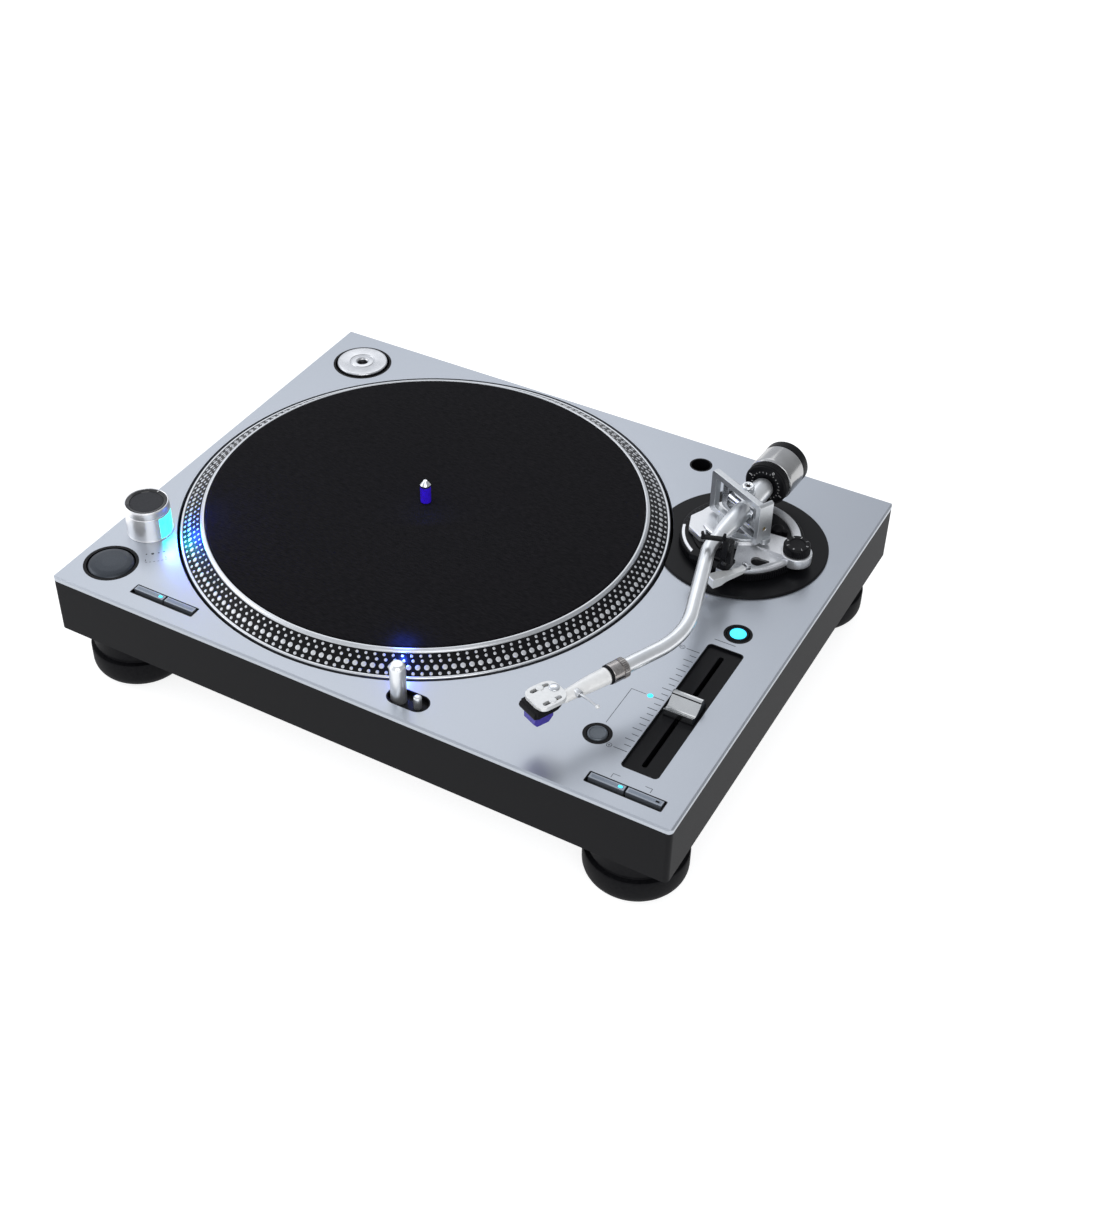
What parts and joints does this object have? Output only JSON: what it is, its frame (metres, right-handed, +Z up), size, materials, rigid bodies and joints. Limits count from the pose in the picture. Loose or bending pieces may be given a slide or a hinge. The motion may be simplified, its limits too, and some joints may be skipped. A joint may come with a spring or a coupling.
{
  "type": "direct-drive turntable",
  "caption": "Direct-drive record player with a dotted platter rim, an S-shaped arm on a height-adjustable base, a pitch fader, a strobe tower and rubber feet.",
  "frame": {"origin": "on the surface under the feet, below the middle of the plinth", "axes": "+Z up, -Y towards the front edge, +X towards the pitch fader"},
  "size_m": [0.45, 0.352, 0.1335],
  "materials": {
    "plinth": "fine matte charcoal",
    "deck": "satin silver",
    "cover": "textured black",
    "screws": "zinc-plated",
    "well": "matte black",
    "motor_metal": "cast",
    "copper": "enamelled windings",
    "bearing": "turned",
    "board": "circuit board",
    "jack_panel": "moulded",
    "switch_white": "moulded",
    "black_trim": "moulded",
    "fader_panel": "satin black",
    "pot": "folded sheet",
    "indicator": "lit lens",
    "tower": "satin",
    "tower_lens": "lit lens",
    "start_cap": "satin charcoal",
    "keys": "satin",
    "lit_cap": "lit cap",
    "fader_cap": "polished",
    "polished": "polished",
    "power_cap": "black with a silver ring",
    "adapter": "turned",
    "platter": "diamond-turned and polished",
    "mat": "short felt",
    "spindle": "polished",
    "magnet": "ferrite",
    "black_metal": "satin black",
    "arm_casting": "satin cast",
    "rest": "moulded",
    "lever": "satin",
    "gimbal": "satin",
    "arm_tube": "satin",
    "weight": "turned, with a black rim",
    "shell": "light satin",
    "cartridge": "moulded",
    "stylus": "moulded",
    "feet": "matte"
  },
  "bodies": {
    "chassis": {"plinth": "plinth", "top_plate": "deck", "bottom_cover": "cover", "bottom_screws": "screws", "platter_well": "well", "motor_base": "motor_metal", "stator_coils": "copper", "spindle_bearing": "bearing", "circuit_boards": "board", "foot_necks": "cover", "rear_jacks": "jack_panel", "power_inlet": "jack_panel", "button_wells": "black_trim", "switch_bezels": "black_trim", "pitch_panel": "fader_panel", "pitch_potentiometer": "pot", "centre_led": "indicator", "target_well": "black_trim", "storage_wells": "black_trim", "strobe_pod": "tower", "strobe_window": "tower_lens", "arm_mount": "black_trim"},
    "start_button": {"start_button": "start_cap"},
    "speed_button_33": {"speed_button_33": "keys"},
    "speed_button_45": {"speed_button_45": "keys"},
    "range_button_left": {"range_button_left": "keys"},
    "range_button_right": {"range_button_right": "keys"},
    "quartz_button": {"quartz_button": "lit_cap"},
    "reset_button": {"reset_button": "start_cap"},
    "pitch_fader": {"pitch_knob": "fader_cap"},
    "target_lamp": {"target_lamp": "polished"},
    "target_release": {"target_release": "polished"},
    "power_knob": {"power_knob": "power_cap"},
    "line_switch": {"line_switch": "switch_white"},
    "adapter": {"adapter_45": "adapter"},
    "platter": {"platter": "platter", "slipmat": "mat", "spindle": "spindle", "rotor_magnet": "magnet"},
    "height_ring": {"height_ring": "black_metal"},
    "height_lock": {"height_lock": "black_metal"},
    "arm_base": {"arm_base": "arm_casting", "gimbal_yoke": "arm_casting", "arm_rest": "rest"},
    "rest_clip": {"rest_clip": "rest"},
    "cue_lever": {"cue_lever": "lever"},
    "cue_platform": {"cue_platform": "rest"},
    "antiskate_dial": {"antiskate_dial": "black_metal"},
    "gimbal": {"gimbal_ring": "gimbal"},
    "arm": {"arm_tube": "arm_tube"},
    "counterweight": {"counterweight": "weight"},
    "force_dial": {"force_dial": "black_metal"},
    "collar": {"headshell_collar": "arm_tube"},
    "headshell": {"headshell": "shell", "cartridge": "cartridge", "stylus": "stylus"},
    "foot_fl": {"foot_fl": "feet"},
    "foot_fr": {"foot_fr": "feet"},
    "foot_rl": {"foot_rl": "feet"},
    "foot_rr": {"foot_rr": "feet"}
  },
  "joints": [
    {"name": "platter_spin", "type": "hinge", "parent": "chassis", "child": "platter", "pos_m": [-0.048, 0.004, 0.0835], "axis": [0, 0, 1], "continuous": true},
    {"name": "start_press", "type": "slide", "parent": "chassis", "child": "start_button", "axis": [0, 0, -1], "range_m": [0, 0.002], "stiffness_N_per_m": 300, "springref_m": -0.001},
    {"name": "speed_press_33", "type": "slide", "parent": "chassis", "child": "speed_button_33", "axis": [0, 0, -1], "range_m": [0, 0.0015], "stiffness_N_per_m": 300, "springref_m": -0.001},
    {"name": "speed_press_45", "type": "slide", "parent": "chassis", "child": "speed_button_45", "axis": [0, 0, -1], "range_m": [0, 0.0015], "stiffness_N_per_m": 300, "springref_m": -0.001},
    {"name": "range_press_left", "type": "slide", "parent": "chassis", "child": "range_button_left", "axis": [0, 0, -1], "range_m": [0, 0.0015], "stiffness_N_per_m": 300, "springref_m": -0.001},
    {"name": "range_press_right", "type": "slide", "parent": "chassis", "child": "range_button_right", "axis": [0, 0, -1], "range_m": [0, 0.0015], "stiffness_N_per_m": 300, "springref_m": -0.001},
    {"name": "quartz_press", "type": "slide", "parent": "chassis", "child": "quartz_button", "axis": [0, 0, -1], "range_m": [0, 0.0015], "stiffness_N_per_m": 300, "springref_m": -0.001},
    {"name": "reset_press", "type": "slide", "parent": "chassis", "child": "reset_button", "axis": [0, 0, -1], "range_m": [0, 0.0015], "stiffness_N_per_m": 300, "springref_m": -0.001},
    {"name": "pitch_slide", "type": "slide", "parent": "chassis", "child": "pitch_fader", "axis": [0, 1, 0], "range_m": [-0.05, 0.05]},
    {"name": "lamp_press", "type": "slide", "parent": "chassis", "child": "target_lamp", "axis": [0, 0, -1], "range_m": [0, 0.02], "stiffness_N_per_m": 60, "springref_m": -0.005},
    {"name": "release_press", "type": "slide", "parent": "chassis", "child": "target_release", "axis": [0, 0, -1], "range_m": [0, 0.003], "stiffness_N_per_m": 300, "springref_m": -0.001},
    {"name": "power_turn", "type": "hinge", "parent": "chassis", "child": "power_knob", "pos_m": [-0.2005, -0.104, 0.1015], "axis": [0, 0, -1], "range_deg": [0, 45]},
    {"name": "line_switch_slide", "type": "slide", "parent": "chassis", "child": "line_switch", "axis": [1, 0, 0], "range_m": [0, 0.003]},
    {"name": "adapter_lift", "type": "slide", "parent": "chassis", "child": "adapter", "axis": [0, 0, 1], "range_m": [0, 0.03]},
    {"name": "height_turn", "type": "hinge", "parent": "chassis", "child": "height_ring", "pos_m": [0.1526, 0.0814, 0.0885], "axis": [0, 0, 1], "range_deg": [0, 180]},
    {"name": "height_rise", "type": "slide", "parent": "chassis", "child": "arm_base", "axis": [0, 0, 1], "range_m": [0, 0.006]},
    {"name": "height_lock_turn", "type": "hinge", "parent": "chassis", "child": "height_lock", "pos_m": [0.17202, 0.09551, 0.0885], "axis": [0, 0, 1], "range_deg": [0, 60]},
    {"name": "clip_turn", "type": "hinge", "parent": "arm_base", "child": "rest_clip", "pos_m": [0.16038, 0.0379, 0.1125], "axis": [0.0558, 0.9984, 0], "range_deg": [0, 75]},
    {"name": "cue_turn", "type": "hinge", "parent": "arm_base", "child": "cue_lever", "pos_m": [0.1716, 0.0434, 0.0991], "axis": [-0.8387, 0.5446, 0], "range_deg": [0, 18]},
    {"name": "cue_rise", "type": "slide", "parent": "arm_base", "child": "cue_platform", "axis": [0, 0, 1], "range_m": [0, 0.0042]},
    {"name": "antiskate_turn", "type": "hinge", "parent": "arm_base", "child": "antiskate_dial", "pos_m": [0.193, 0.0764, 0.0985], "axis": [0, 0, -1], "range_deg": [0, 270]},
    {"name": "arm_swing", "type": "hinge", "parent": "arm_base", "child": "gimbal", "pos_m": [0.1526, 0.0814, 0.1145], "axis": [0, 0, 1], "range_deg": [-39, 0]},
    {"name": "arm_tilt", "type": "hinge", "parent": "gimbal", "child": "arm", "pos_m": [0.1526, 0.0814, 0.1145], "axis": [-0.891, 0.454, 0], "range_deg": [-0.7, 4]},
    {"name": "weight_turn", "type": "hinge", "parent": "arm", "child": "counterweight", "pos_m": [0.15534, 0.13032, 0.1145], "axis": [0.0558, 0.9984, 0], "continuous": true},
    {"name": "force_dial_turn", "type": "hinge", "parent": "arm", "child": "force_dial", "pos_m": [0.15439, 0.11335, 0.1145], "axis": [0.0558, 0.9984, 0], "continuous": true},
    {"name": "collar_turn", "type": "hinge", "parent": "arm", "child": "collar", "pos_m": [0.15166, -0.10391, 0.1145], "axis": [-0.4179, -0.9085, 0], "range_deg": [0, 45]},
    {"name": "headshell_pull", "type": "slide", "parent": "arm", "child": "headshell", "axis": [-0.4179, -0.9085, 0], "range_m": [0, 0.015]},
    {"name": "foot_fl_turn", "type": "hinge", "parent": "chassis", "child": "foot_fl", "pos_m": [-0.1894, -0.1416, 0.02], "axis": [0, 0, 1], "range_deg": [0, 360]},
    {"name": "foot_fr_turn", "type": "hinge", "parent": "chassis", "child": "foot_fr", "pos_m": [0.1894, -0.1416, 0.02], "axis": [0, 0, 1], "range_deg": [0, 360]},
    {"name": "foot_rl_turn", "type": "hinge", "parent": "chassis", "child": "foot_rl", "pos_m": [-0.1894, 0.1416, 0.02], "axis": [0, 0, 1], "range_deg": [0, 360]},
    {"name": "foot_rr_turn", "type": "hinge", "parent": "chassis", "child": "foot_rr", "pos_m": [0.1894, 0.1416, 0.02], "axis": [0, 0, 1], "range_deg": [0, 360]}
  ],
  "couplings": [
    {"joint": "height_rise", "follows": "height_turn", "m_per_rad": 0.0019099},
    {"joint": "cue_rise", "follows": "cue_turn", "m_per_rad": 0.013369}
  ]
}
